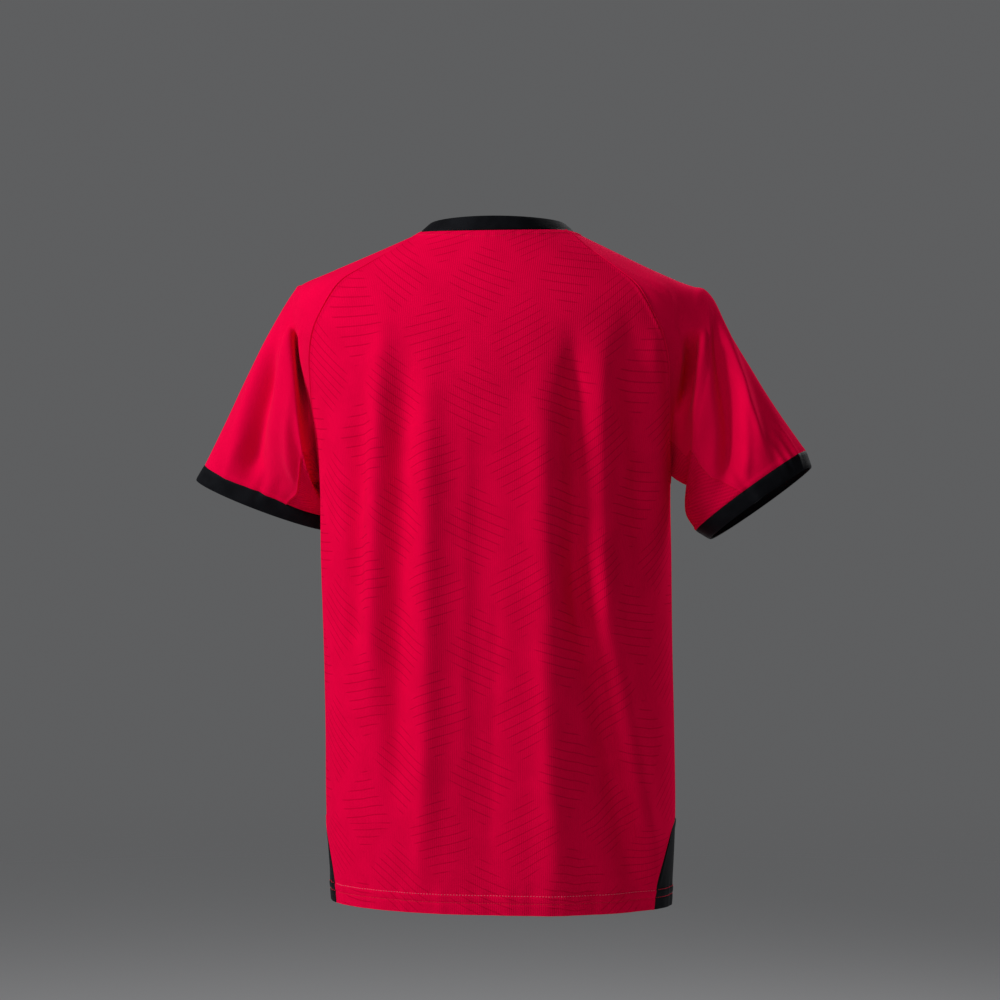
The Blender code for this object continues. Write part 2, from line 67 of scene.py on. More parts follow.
RING_COLUMNS = (
    "half_width", "back", "front", "side_level", "back_level", "front_level",
    "raglan_back", "raglan_front", "lean",
)
RINGS = (
    (82, 62, 74, -1, -4, -82, 70, 62, 0),
    (120, 72, 84, -17, -20, -94, 56, 52, 0),
    (165, 82, 92, -36, -38, -108, 51, 47, 0),
    (199, 92, 98, -49, -58, -124, 50, 46, 1),
    (216, 100, 103, -62, -80, -141, 50, 46.5, 1),
    (223, 107, 107, -95, -105, -158, 54, 50.5, 2),
    (220, 112, 110, -125, -130, -175, 58.5, 56, 2),
    (210, 116, 112, -155, -158, -193, 64, 63, 2),
    (199, 118, 114, -185, -186, -211, 71, 70.5, 3),
    (191, 120, 116, -222, -222, -237, 78, 78.5, 3),
    (187, 120, 117, -268, -268, -268, 90, 90, 3),
    (187, 119, 116, -345, -345, -345, 90, 90, 2),
    (186, 117, 114, -435, -435, -435, 90, 90, 0),
    (186, 115, 112, -525, -525, -525, 90, 90, -2),
    (186, 113, 110, -618, -618, -618, 90, 90, -3),
    (181, 111, 108, -708, -708, -708, 90, 90, -4),
)

# Folds are the big ones that the solids have too, and creases the finer ones that only show here.
# They lift the cloth where the height is above 0, and sink it where it is below.
# On the body a fold's places are x and z, and on a sleeve the turn round the arm and the loop.
FOLD_COLUMNS = ("from_across", "from_down", "to_across", "to_down", "width", "height")
FADES = ((-0.12, 0.2), (0.82, 1.12))
ARM_FADES = ((-0.15, 0.25), (0.7, 1.1))
SIDEWAYS = 0.5
SIDE_FADE = (0.0, 0.3)
BACK_FOLDS = (
    (131, -190, 138, -440, 12, -7.5),
    (104, -110, 118, -480, 13, 8.0),
    (79, -140, 93, -600, 14, -7.5),
    (53, -160, 57, -650, 15, 8.0),
    (2, -200, -6, -708, 26, -5.5),
    (-64, -160, -78, -708, 18, 8.5),
    (-95, -125, -98, -430, 11, -8.5),
    (-92, -330, -158, -700, 13, -8.5),
    (-124, -125, -124, -430, 12, 7.0),
    (-119, -330, -170, -660, 13, 6.5),
    (-150, -105, -162, -370, 11, -5.0),
    (-176, -110, -176, -300, 9, 4.5),
)
FRONT_FOLDS = (
    (108, -190, 118, -520, 18, 5.5),
    (80, -210, 84, -640, 15, -6.0),
    (48, -300, 52, -708, 20, 5.0),
    (6, -260, 0, -700, 30, -4.5),
    (-50, -240, -62, -690, 20, 6.0),
    (-88, -190, -94, -600, 15, -6.5),
    (-122, -170, -120, -480, 17, 5.0),
    (-146, -400, -142, -690, 16, 4.0),
    (140, -380, 144, -690, 15, -4.0),
)
BACK_CREASES = (
    (12, -210, 18, -560, 7, 0.9),
    (-18, -380, -10, -640, 6, -0.8),
    (58, -520, 66, -700, 8, 1.2),
    (-62, -420, -70, -600, 6, 1.0),
    (160, -250, 132, -420, 9, 1.6),
    (-150, -240, -128, -330, 8, 1.4),
    (-176, -300, -150, -430, 8, 1.3),
    (172, -300, 160, -470, 8, -1.2),
)
FRONT_CREASES = (
    (-14, -240, -20, -520, 7, -0.9),
    (28, -420, 22, -650, 6, 0.9),
    (-66, -480, -60, -690, 8, 1.2),
    (160, -250, 126, -410, 9, 2.8),
    (-160, -250, -128, -420, 9, 2.6),
    (62, -150, 88, -340, 10, 2.4),
    (-34, -160, -66, -360, 10, -2.2),
    (4, -180, 12, -400, 11, 1.8),
    (176, -320, 162, -480, 8, -1.2),
)

NECK_SHARE = 0.1
BELOW_NECK = 0.01
ARM_LOOP = 6.0
LAST_LOOP = 10.0
GUSSET_AT_ARMHOLE = 0.91
GUSSET_TURNS = (5.2, 11.0)
SHOULDER_ROW = 3.3
SLIT_FOOT_ROW = 9.85
SLIT_TURN = 24.0
SLIT_SKEW = 0.8
SLIT_SLOPE = 1.4
SLIT_OPENS = (0.40, 0.66)
SLIT_CLOSES = (0.62, 0.90)

# At the shoulder's corner the cloth stands out a little, and so bends sharply. The fold that a fine
# mesh would show on top of the bend is rounded off.
CORNER_SHARES = (0.06, 0.35)
CORNER_POINT = (0.7, 0.0, 0.9)
CROWDED = 0.68
CROWDED_POWER = 8
CROWDED_LOOPS = (-0.5, 3.5)
CORNER_LOOP = 6.3
CORNER_ROUND_SHARES = (0.12, 0.34)
CORNER_ROUND_LOOPS = (0.3, 1.0)
CORNER_ROUNDS = 40

LOOP_COLUMNS = (
    "top_out", "top_level", "under_out", "under_level", "back_y", "half_depth", "back_drop",
)
LEFT_LOOPS = (
    (217, -57, 198, -268, 0, 43, 0),
    (249, -104, 194, -276, -10, 48, 2),
    (276, -150, 191.5, -285, -21, 46, 3),
    (303, -197, 190, -294, -36, 42, 4),
    (331, -245, 190, -302, -50, 38, 4),
    (342, -261, 192, -317, -54, 38, 5),
)
RIGHT_LOOPS = (
    (223, -65, 203, -270, 4, 39, 0),
    (241, -99, 201, -277, 4, 45, 0),
    (267, -145, 200, -285, 5, 43, 0),
    (296, -190, 201, -298, 7, 41, 0),
    (326, -233, 212, -316, 9, 38, -3),
    (332, -250, 227, -325, 9, 37, -3),
)

# The first fold of the left arm starts a little higher up and is 1 mm deeper than the solid's.
LEFT_ARM_FOLDS = (
    (45, 6.8, 82, 10.0, 15, -13.0),
    (30, 6.6, 60, 10.0, 14, 4.0),
    (106, 7.0, 132, 10.0, 15, 4.0),
    (-60, 6.6, -70, 9.8, 18, -6.0),
    (-92, 7.0, -100, 9.8, 16, 4.5),
)
RIGHT_ARM_FOLDS = (
    (12, 6.6, 70, 9.9, 10, 6.0),
    (34, 6.7, 102, 9.6, 15, -9.0),
    (57, 6.3, 120, 9.0, 15, 4.0),
    (-52, 6.4, -66, 9.8, 18, -6.0),
    (-84, 6.6, -92, 9.6, 16, 5.0),
)
LEFT_ARM_CREASES = (
    (52, 9.0, 56, 10.4, 5, 1.0),
    (88, 9.3, 88, 11.5, 4, -1.8),
    (104, 9.0, 102, 10.4, 5, -1.1),
    (-30, 6.8, -36, 9.0, 7, 1.0),
    (48, 7.0, 76, 10.0, 8, -4.0),
    (-48, 6.8, -84, 9.8, 9, 3.0),
    (-80, 6.9, -58, 9.4, 8, -2.2),
    (92, 6.5, 116, 8.6, 9, 2.2),
)
RIGHT_ARM_CREASES = (
    (40, 8.0, 90, 9.87, 6, 2.8),
    (8, 7.6, 34, 10.2, 12, 2.0),
    (44, 7.0, 108, 9.6, 8, -3.2),
    (57, 6.3, 120, 9.0, 15, -4.5),
    (20, 6.4, 62, 9.9, 4.5, 2.6),
    (29, 9.3, 33, 10.4, 3.6, 2.2),
    (40, 9.3, 43, 10.4, 3.6, 2.0),
    (50, 9.4, 52, 10.5, 3.6, 1.8),
    (91, 9.2, 91, 11.5, 4, -2.4),
    (29, 6.3, 53, 9.0, 3.2, 1.8),
    (-36, 7.0, -40, 9.2, 7, 1.0),
    (-44, 6.7, -82, 9.7, 9, 3.0),
    (-72, 6.9, -50, 9.4, 8, -2.2),
)

# What differs between the sleeves: 1 is the wearer's left, and -1 the right.
LOOPS = {1: LEFT_LOOPS, -1: RIGHT_LOOPS}
ARM_FOLDS = {1: LEFT_ARM_FOLDS + LEFT_ARM_CREASES, -1: RIGHT_ARM_FOLDS + RIGHT_ARM_CREASES}
BACK_TUCK, FRONT_TUCK = {1: 38, -1: 36}, {1: 10, -1: 12}
GUSSET_AT_CUFF = {1: 0.636, -1: 0.54}

# How fine the mesh is. It is finest along the neck seam and along the stitches of the hem.
ARMHOLE_SAMPLES = 80
GUSSET_SAMPLES = 10
NECK_STEPS = 6
NECK_ROWS, NECK_ROW_STEP = 12, 0.028
BACK_COLUMNS = 150
FRONT_COLUMNS = 130
LOWER_SAMPLES = 118
INSET_SAMPLES = 30
INSET_COLUMNS = 28
FINE_HEIGHTS, FINE_STEP = ((9, 15.5), (17, 23.5)), 0.8
LOOP_RUNS = ((0, 3, 44), (3, 6, 36), (6, LAST_LOOP, 64))
BAND_ROWS = 12
COLLAR_START, COLLAR_COLUMNS = 75.0, 300
STEP = 0.01


def columns(names, rows):
    """The table as a dictionary with one array a column."""
    return dict(zip(names, np.array(rows, float).T))


def alike(*values):
    """The values as arrays of one shape."""
    return np.broadcast_arrays(*(np.asarray(value, float) for value in values))


def curve(start, end, start_slope, end_slope, t):
    """The smooth curve from start to end, at shares t of the way."""
    values = start * (1 + 2 * t) * (1 - t) ** 2 + end * t**2 * (3 - 2 * t)
    return values + start_slope * t * (1 - t) ** 2 + end_slope * t**2 * (t - 1)


def smooth(values, at):
    """The values at a fractional row number, on a smooth curve through the rows."""
    slopes = np.gradient(values, axis=0)
    row = np.clip(np.floor(at).astype(int), 0, len(values) - 2)
    return curve(values[row], values[row + 1], slopes[row], slopes[row + 1], at - row)


def ease(value, limits):
    """0 below the limits, 1 above them and a soft step between."""
    t = np.clip((value - limits[0]) / (limits[1] - limits[0]), 0, 1)
    return t * t * (3 - 2 * t)


def hump(value, width):
    """1 at 0, and falling off softly to both sides within the width."""
    return np.exp(-((value / width) ** 2))


def full_turn(count):
    """Evenly spaced turns of a whole circle, the last one short of 360."""
    return np.linspace(0, 360, count + 1)[:-1]


def unit(vectors):
    """The vectors at length 1."""
    return vectors / np.maximum(np.linalg.norm(vectors, axis=-1, keepdims=True), 1e-9)


def surface_normal(surface, first, second):
    """The surface's normal, from points a small step to each side."""
    along_first = surface(first + STEP, second) - surface(first - STEP, second)
    along_second = surface(first, second + STEP) - surface(first, second - STEP)
    return unit(np.cross(along_first, along_second))


BODY = columns(RING_COLUMNS, RINGS)


def ring_value(name, row):
    """One size of the body at a ring row."""
    return smooth(BODY[name], row)


def plain_body(turn, row):
    """The body surface before its folds."""
    angle = np.radians(turn)
    behind = np.cos(angle) > 0
    depth = np.where(behind, ring_value("back", row), ring_value("front", row))
    far = np.where(behind, ring_value("back_level", row), ring_value("front_level", row))
    side = ring_value("side_level", row)
    x = ring_value("half_width", row) * np.sin(angle) + ring_value("lean", row)
    y = depth * np.cos(angle)
    z = side + (far - side) * np.cos(angle) ** 2
    lowered = ease(-x, DROP_STARTS) * (1 - ease(row, DROP_ENDS))
    return np.stack((x, y, z - RIGHT_SHOULDER_DROP * lowered), axis=-1)


def fold_height(folds, across, down, fades):
    """How far the folds lift or sink the cloth."""
    height = np.zeros(across.shape)
    for row in folds:
        fold = dict(zip(FOLD_COLUMNS, row))
        share = (down - fold["from_down"]) / (fold["to_down"] - fold["from_down"])
        centre = fold["from_across"] + (fold["to_across"] - fold["from_across"]) * share
        along = ease(share, fades[0]) * (1 - ease(share, fades[1]))
        height += fold["height"] * hump(across - centre, fold["width"]) * along
    return height


def body_surface(turn, row):
    """The body surface with its folds, which move it straight out or in."""
    turn, row = alike(turn, row)
    points = plain_body(turn, row)
    angle = np.radians(turn)
    out = np.stack((np.sin(angle) * SIDEWAYS, np.cos(angle), np.zeros(angle.shape)), axis=-1)
    x, z = points[..., 0], points[..., 2]
    back = fold_height(BACK_FOLDS + BACK_CREASES, x, z, FADES)
    front = fold_height(FRONT_FOLDS + FRONT_CREASES, x, z, FADES)
    height = np.where(np.cos(angle) > 0, back, front) * ease(np.abs(np.cos(angle)), SIDE_FADE)
    return points + unit(out) * height[..., None]


def body_normal(turn, row):
    """The normal of the folded body surface."""
    turn, row = alike(turn, row)
    return surface_normal(body_surface, turn, row)


def raglan_turn(row, front):
    """The turn of the raglan seam on the wearer's left at a ring row."""
    if front:
        return 180 - ring_value("raglan_front", row)
    return ring_value("raglan_back", row)


def inset_turn(row):
    """Half the side inset's width as a turn about the side seam."""
    rise = np.clip(HEM_ROW - row, 0, 1)
    width = INSET_HALF_WIDTH * (1 - rise**2) ** INSET_ROUNDNESS
    depth = (ring_value("back", row) + ring_value("front", row)) / 2
    return np.degrees(width / depth)


def panel_edge(row, front):
    """The turn at which a body panel ends: raglan seam, side seam, then the inset's edge."""
    name = "raglan_front" if front else "raglan_back"
    raglan = ring_value(name, np.minimum(row, UNDERARM_ROW))
    seam = np.where(row < UNDERARM_ROW, raglan, SIDE_TURN)
    return seam - np.where(row > INSET_TOP_ROW, inset_turn(row), 0.0)


def arm_angle(around, number):
    """The angle round the arm: crowded over the shoulder at the armhole, even at the cuff."""
    at_armhole = around * (CROWDED + (1 - CROWDED) * around**CROWDED_POWER)
    crowding = 1 - ease(number, CROWDED_LOOPS)
    wrap = np.where(np.abs(around) > 1, around, around + (at_armhole - around) * crowding)
    return np.pi * wrap


def loop_point(loops, around, number):
    """A point of the sleeve loops at a fractional loop number."""
    table = columns(LOOP_COLUMNS, loops)
    part = {name: smooth(values, number) for name, values in table.items()}
    angle = arm_angle(around, number)
    middle_out = (part["top_out"] + part["under_out"]) / 2
    middle_level = (part["top_level"] + part["under_level"]) / 2
    x = middle_out + (part["top_out"] - part["under_out"]) / 2 * np.cos(angle)
    y = part["back_y"] + part["half_depth"] * np.sin(angle)
    z = middle_level + (part["top_level"] - part["under_level"]) / 2 * np.cos(angle)
    return np.stack((x, y, z - part["back_drop"] * np.sin(angle)), axis=-1)


def armhole_place(around):
    """Turn and row of the sleeve's own edge: neck seam, then raglan seam to the underarm."""
    size = np.abs(around)
    share = np.clip(size / NECK_SHARE, 0, 1)
    row = UNDERARM_ROW * np.clip((size - NECK_SHARE) / (1 - NECK_SHARE), 0, 1)
    turns = []
    for front in (False, True):
        neck = SIDE_TURN + (raglan_turn(0 * row, front) - SIDE_TURN) * share
        turns.append(np.where(size < NECK_SHARE, neck, raglan_turn(row, front)))
    return np.where(around >= 0, *turns), row


def slit_place(around):
    """Turn and row of the edge where the cloth leaves the body surface for the arm."""
    share = np.abs(around) ** SLIT_SLOPE
    row = SHOULDER_ROW + (SLIT_FOOT_ROW - SHOULDER_ROW) * share
    skewed = np.sign(around) * np.abs(around) ** SLIT_SKEW
    return SIDE_TURN - SLIT_TURN * np.sin(np.pi * skewed), row


def sleeve_loops(side, around):
    """The loops that a sleeve passes through, as on the wearer's left.

    They are its own edge and three on the body, two across the slit, and five along the arm.
    """
    loops = LOOPS[side]
    mirror = np.array((side, 1, 1))
    first = loop_point(loops, around, np.zeros(around.shape))
    start_turn, start_row = armhole_place(around)
    end_turn, end_row = slit_place(around)
    made = []
    for share in (0, 1 / 3, 2 / 3, 1):
        turn = start_turn + (end_turn - start_turn) * share
        row = start_row + (end_row - start_row) * share
        made.append(body_surface(side * turn, row) * mirror)
    size = np.abs(around)
    depth = ease(size, SLIT_OPENS) * (1 - ease(size, SLIT_CLOSES))
    pull = np.where(around > 0, -BACK_TUCK[side], FRONT_TUCK[side]) * depth
    edge = made[-1]
    for share in (1 / 3, 2 / 3):
        floor = edge + (first - edge) * share
        floor[..., 1] += pull
        made.append(floor)
    made[-1] += (1 - ease(size, CORNER_SHARES))[..., None] * np.array(CORNER_POINT)
    for number in range(len(loops) - 1):
        made.append(loop_point(loops, around, np.full(around.shape, float(number))))
    return np.stack(made)


def directions(loops, length):
    """The direction of the curve through the loops at each, weighted to the nearer neighbour."""
    runs = np.diff(loops, axis=0) / length
    middle = (runs[:-1] * length[1:] + runs[1:] * length[:-1]) / (length[1:] + length[:-1])
    return np.concatenate((runs[:1], middle, runs[-1:]))


def sleeve_surface(side):
    """The sleeve's outer surface as a function of around (-1 to 1) and loop (0 to 10)."""
    mirror = np.array((side, 1, 1))

    def plain(around, loop):
        loops = sleeve_loops(side, around)
        length = np.linalg.norm(np.diff(loops, axis=0), axis=-1, keepdims=True)
        slopes = directions(loops, length)
        row = np.clip(np.floor(loop).astype(int), 0, len(loops) - 2)
        place = tuple(np.indices(around.shape))
        here, after = (row, *place), (row + 1, *place)
        ends = loops[here], loops[after], slopes[here] * length[here], slopes[after] * length[here]
        return curve(*ends, (loop - row)[..., None]) * mirror

    def folded(around, loop):
        around, loop = alike(around, loop)
        turn = np.degrees(arm_angle(around, loop - ARM_LOOP))
        lift = fold_height(ARM_FOLDS[side], turn, loop, ARM_FADES)
        normal = surface_normal(plain, around, loop) * -side
        return plain(around, loop) + normal * lift[..., None]

    return folded


def gusset_edge(side, loop):
    """Where the gusset's seam lies around the sleeve at each loop."""
    share = ease(loop, GUSSET_TURNS) / ease(LAST_LOOP, GUSSET_TURNS)
    return GUSSET_AT_ARMHOLE + (GUSSET_AT_CUFF[side] - GUSSET_AT_ARMHOLE) * share


# The ring rows of the panels' points, and the loops of the sleeves' points.
GUSSET_ROW = UNDERARM_ROW * (GUSSET_AT_ARMHOLE - NECK_SHARE) / (1 - NECK_SHARE)
OVER_ROWS = np.union1d(np.linspace(0, GUSSET_ROW, ARMHOLE_SAMPLES),
                       np.arange(1, NECK_ROWS + 1) * NECK_ROW_STEP)
UNDER_ROWS = np.linspace(OVER_ROWS[-1], UNDERARM_ROW, GUSSET_SAMPLES + 1)
RAGLAN_ROWS = np.append(OVER_ROWS, UNDER_ROWS[1:])
LOWER_ROWS = np.linspace(UNDERARM_ROW, INSET_TOP_ROW, LOWER_SAMPLES + 1)[1:]
ROUND_ROWS = INSET_TOP_ROW + 1 - np.cos(np.linspace(0, np.pi / 2, INSET_SAMPLES + 1))
FINE_ROWS = np.concatenate([np.arange(*heights, FINE_STEP) for heights in FINE_HEIGHTS])
INSET_ROWS = np.union1d(ROUND_ROWS, HEM_ROW - FINE_ROWS / LAST_RING_HEIGHT)
SLEEVE_LOOPS = np.unique(np.concatenate([np.linspace(*run) for run in LOOP_RUNS]))


def around_ring(edge):
    """Around values of a whole loop, first over the sleeve, and how many of them are over it."""
    raglan = NECK_SHARE + (1 - NECK_SHARE) * OVER_ROWS / UNDERARM_ROW
    half = np.append(np.linspace(0, NECK_SHARE, NECK_STEPS + 1)[:-1], raglan) / GUSSET_AT_ARMHOLE
    over = np.concatenate((-half[:0:-1], half))
    low = np.linspace(0, 1, GUSSET_SAMPLES + 1)
    under = edge + (1 - edge) * np.concatenate((low, 2 - low[-2::-1]))[1:-1]
    under = np.where(under > 1, under - 2, under)
    return np.concatenate((edge * over, under)), len(over)


def ring_grid_normals(points):
    """Normals of a grid that closes on itself: each the mean of the squares around it."""
    after = np.roll(points, -1, axis=1)
    squares = unit(np.cross(after[1:] - points[:-1], points[1:] - after[:-1]))
    both = squares + np.roll(squares, 1, axis=1)
    normals = np.zeros(points.shape)
    normals[:-1] += both
    normals[1:] += both
    return unit(normals)


def smooth_corner(points, around, loop):
    """The points with the sharp bend on top of the shoulder's corner rounded off."""
    on_top = 1 - ease(np.abs(around), CORNER_ROUND_SHARES)
    near = 1 - ease(np.abs(loop - CORNER_LOOP), CORNER_ROUND_LOOPS)
    mask = (on_top * near)[..., None] / 2
    for _ in range(CORNER_ROUNDS):
        mean = (np.roll(points, 1, axis=1) + np.roll(points, -1, axis=1)) / 4
        mean[1:-1] += (points[:-2] + points[2:]) / 4
        mean[[0, -1]] = points[[0, -1]]
        points = points + (mean - points) * mask
    return points


def sleeve_tube(side):
    """Points and normals all round the sleeve, loop by loop, the last on the cuff's edge."""
    around = np.stack([around_ring(gusset_edge(side, loop))[0] for loop in SLEEVE_LOOPS])
    loop = np.repeat(SLEEVE_LOOPS[:, None], around.shape[1], axis=1)
    points = smooth_corner(sleeve_surface(side)(around, loop), around, loop)
    last = np.full(around[-1:].shape, float(len(LOOPS[side]) - 1))
    cuff_edge = loop_point(LOOPS[side], around[-1:], last) * np.array((side, 1, 1))
    points = np.concatenate((points, cuff_edge))
    normals = ring_grid_normals(points) * -side
    turn, row = armhole_place(around[0])
    normals[0] = body_normal(side * turn, row)
    return points, normals, around_ring(GUSSET_AT_ARMHOLE)[1]


def arc_lengths(points, axis):
    """Lengths along the rows or columns of a grid of points, from 0."""
    steps = np.linalg.norm(np.diff(points, axis=axis), axis=-1)
    zero = np.zeros_like(np.take(steps, [0], axis=axis))
    return np.concatenate((zero, np.cumsum(steps, axis=axis)), axis=axis)


def cut_places(points):
    """Each point's place on the flat cut: across from the middle column and down, in metres."""
    across = arc_lengths(points, 1)
    middle = points.shape[1] // 2
    down = arc_lengths(points, 0)
    return np.stack((across - across[:, middle:middle + 1], down), axis=-1) * MM


SEAM_RIDGE_AT, SEAM_RIDGE_WIDTH, SEAM_RIDGE_HEIGHT = 2.0, 1.3, 0.9
SEAM_DIP_WIDTH, SEAM_DIP_DEPTH = 0.8, 0.7
# The edges of a grid of points, each as its axis and whether it is the far one.
TOP, FOOT, FIRST_SIDE, LAST_SIDE = (0, False), (0, True), (1, False), (1, True)


def seam_ridge(points, normals, edges, cuffed=False, share=1.0):
    """Lifts the cloth beside the named edges, where a seam is turned in, and sinks it at them.

    An edge under a cuff has no dip; share holds back the relief along the top edge.
    """
    lift = np.zeros(points.shape[:2])
    for axis, end in edges:
        run = arc_lengths(points, axis)
        if end:
            run = np.take(run, [-1], axis=axis) - run
        here = SEAM_RIDGE_HEIGHT * hump(run - SEAM_RIDGE_AT, SEAM_RIDGE_WIDTH)
        if not (cuffed and (axis, end) == FOOT):
            here -= SEAM_DIP_DEPTH * hump(run, SEAM_DIP_WIDTH)
        lift += here * (share if (axis, end) == TOP else 1.0)
    return points + normals * lift[..., None]


def draw_edges_in(outer, normals, closed):
    """The outer points with each free edge drawn in by half the seam gap."""
    outer = outer.copy()
    for axis in (0,) if closed else (0, 1):
        grid, facing = (np.moveaxis(values, axis, 0) for values in (outer, normals))
        for edge, inner in ((0, 1), (-1, -2)):
            line = grid[edge]
            if closed:
                run = np.roll(line, -1, axis=0) - np.roll(line, 1, axis=0)
            else:
                run = np.gradient(line, axis=0)
            inward = unit(np.cross(facing[edge], unit(run)))
            inward *= np.sign(np.sum(inward * (grid[inner] - line), axis=-1, keepdims=True))
            line += inward * SEAM_GAP / 2
    return outer


def grid_squares(rows, across, closed):
    """The corners of each square of a grid of points, row by row."""
    row, column = np.meshgrid(np.arange(rows - 1), np.arange(across - (not closed)), indexing="ij")
    start, after = row * across, (column + 1) % across
    below = start + across
    corners = (start + column, start + after, below + after, below + column)
    return np.stack(corners, -1).reshape(-1, 4)


def shell(name, outer, normals, wall, material, places, closed=False):
    """A thin sheet between the outer points and the same points moved in by the wall."""
    outer = draw_edges_in(outer, normals, closed)
    rows, across = outer.shape[:2]
    points = np.concatenate((outer.reshape(-1, 3), (outer - normals * wall).reshape(-1, 3)))
    flat = np.concatenate((places.reshape(-1, 2), places.reshape(-1, 2)))
    squares = grid_squares(rows, across, closed)
    inside = rows * across
    faces = [squares, inside + squares[:, ::-1]]
    first = np.arange(across - (not closed))
    second, last = (first + 1) % across, inside - across
    rims = [(first, second), (last + second, last + first)]
    if not closed:
        first = np.arange(rows - 1) * across
        second, last = first + across, across - 1
        rims += [(second, first), (last + first, last + second)]
    for first, second in rims:
        faces.append(np.stack((second, first, inside + first, inside + second), -1))
    faces = np.concatenate(faces)
    corners = points[faces[0]]
    outward = np.dot(np.cross(corners[1] - corners[0], corners[3] - corners[0]), normals[0, 0])
    if outward < 0:
        faces = faces[:, ::-1]
    return mesh_object(name, points, faces, material, flat)


def add_object(name, data):
    made = bpy.data.objects.new(name, data)
    bpy.context.collection.objects.link(made)
    return made


def mesh_object(name, points, faces, material, flat=None):
    """One smooth-shaded piece of the jersey, with its places on the flat cut as its UV map."""
    mesh = bpy.data.meshes.new(name)
    mesh.from_pydata((points * MM).tolist(), [], faces.tolist())
    if flat is not None:
        layer = mesh.uv_layers.new(name="cut")
        layer.data.foreach_set("uv", flat[faces.reshape(-1)].reshape(-1))
    mesh.shade_smooth()
    mesh.set_sharp_from_angle(angle=math.radians(SHARP_ANGLE))
    mesh.materials.append(material)
    made = add_object(name, mesh)
    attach(made, "root")
    return made


# ---- materials


class Nodes:
    """Short ways to add and join shader nodes."""

    def __init__(self, material):
        material.use_nodes = True
        self.tree = material.node_tree
        self.shader = self.tree.nodes["Principled BSDF"]

    def add(self, kind, **settings):
        node = self.tree.nodes.new(kind)
        for key, value in settings.items():
            setattr(node, key, value)
        return node

    def join(self, source, target):
        self.tree.links.new(source, target)

    def put(self, value, socket):
        """Gives the socket a number, a colour or another node's output."""
        if isinstance(value, tuple):
            value = (*value, 1)
        if isinstance(value, (int, float, tuple)):
            socket.default_value = value
        else:
            self.join(value, socket)

    def math(self, operation, first, second=0.0, third=0.0):
        node = self.add("ShaderNodeMath", operation=operation)
        for value, socket in zip((first, second, third), node.inputs):
            self.put(value, socket)
        return node.outputs[0]

    def step(self, value, low, high, start=0.0, end=1.0):
        node = self.add("ShaderNodeMapRange", interpolation_type="SMOOTHSTEP")
        for item, socket in zip((value, low, high, start, end), node.inputs):
            self.put(item, socket)
        return node.outputs[0]

    def mix(self, share, first, second):
        node = self.add("ShaderNodeMix", data_type="RGBA")
        for value, number in ((share, 0), (first, 6), (second, 7)):
            self.put(value, node.inputs[number])
        return node.outputs[2]

    def place(self):
        """The place on the flat cut in millimetres: across and down."""
        split = self.add("ShaderNodeSeparateXYZ")
        self.join(self.add("ShaderNodeUVMap", uv_map="cut").outputs[0], split.inputs[0])
        return [self.math("MULTIPLY", split.outputs[axis], 1 / MM) for axis in (0, 1)]

    def noise(self, scale, detail):
        node = self.add("ShaderNodeTexNoise")
        node.inputs["Scale"].default_value = scale
        node.inputs["Detail"].default_value = detail
        coordinate = self.add("ShaderNodeTexCoord")
        self.join(coordinate.outputs["Object"], node.inputs["Vector"])
        return node.outputs[0]

    def wave(self, value, pitch):
        """0 to 1 and back every pitch millimetres."""
        turn = self.math("MULTIPLY", value, 2 * math.pi / pitch)
        return self.math("MULTIPLY_ADD", self.math("SINE", turn), 0.5, 0.5)

    def bump(self, height, depth):
        """Relief of the depth in millimetres."""
        node = self.add("ShaderNodeBump")
        node.inputs["Strength"].default_value = 1.0
        node.inputs["Distance"].default_value = depth * MM
        self.join(height, node.inputs["Height"])
        self.join(node.outputs[0], self.shader.inputs["Normal"])

    def colour(self, colour):
        self.join(colour, self.shader.inputs["Base Color"])

    def roughness(self, mottle, low, high):
        """Roughness from low to high with the mottle."""
        self.join(self.step(mottle, *MOTTLE_ROUGH, low, high), self.shader.inputs["Roughness"])

    def mottled_red(self, scale, low, high):
        """A mottle, and the red that goes from low to high towards its darker tone with it."""
        mottle = self.noise(scale, MOTTLE_DETAIL)
        return mottle, self.mix(self.step(mottle, *MOTTLE_SHADE, low, high), RED, RED_DARK)


RED = (0.82, 0.0006, 0.052)
RED_DARK = (0.55, 0.0005, 0.030)
RED_DEEP = (0.40, 0.0004, 0.020)
RED_SHEEN = (1.0, 0.10, 0.22)
BLACK = (0.0035, 0.0036, 0.0045)
BLACK_LIGHT = (0.0062, 0.0066, 0.0082)
BLACK_SHEEN = (0.6, 0.65, 0.75)
RED_THREAD_COLOUR = (0.80, 0.03, 0.07)
PINK_THREAD_COLOUR = (0.98, 0.15, 0.24)
SHEEN_ROUGHNESS = 0.4
MOTTLE_DETAIL, MOTTLE_SHADE, MOTTLE_ROUGH = 3.0, (0.3, 0.7), (0.2, 0.8)


def new_material(name, colour, roughness, sheen=0.0, tint=(1, 1, 1), gloss=0.5):
    """A material with the values that are even all over, and its nodes."""
    material = bpy.data.materials.new(name)
    nodes = Nodes(material)
    values = {"Base Color": colour, "Roughness": roughness, "Sheen Weight": sheen,
              "Sheen Roughness": SHEEN_ROUGHNESS, "Sheen Tint": tint,
              "Specular IOR Level": gloss, "Specular Tint": tint}
    for key, value in values.items():
        nodes.put(value, nodes.shader.inputs[key])
    return material, nodes


DIAMOND_WIDTH, DIAMOND_HEIGHT = 92.0, 128.0
DIAMOND_EDGE = (0.07, 0.15)
STROKE_PITCH, STROKE_WIDTH, STROKE_SLANT = 9.5, 0.42, 0.42
# Whole diamonds and whole pitches that are added to keep every share above 0.
DIAMONDS_ADDED, PITCHES_ADDED = 40.0, 100


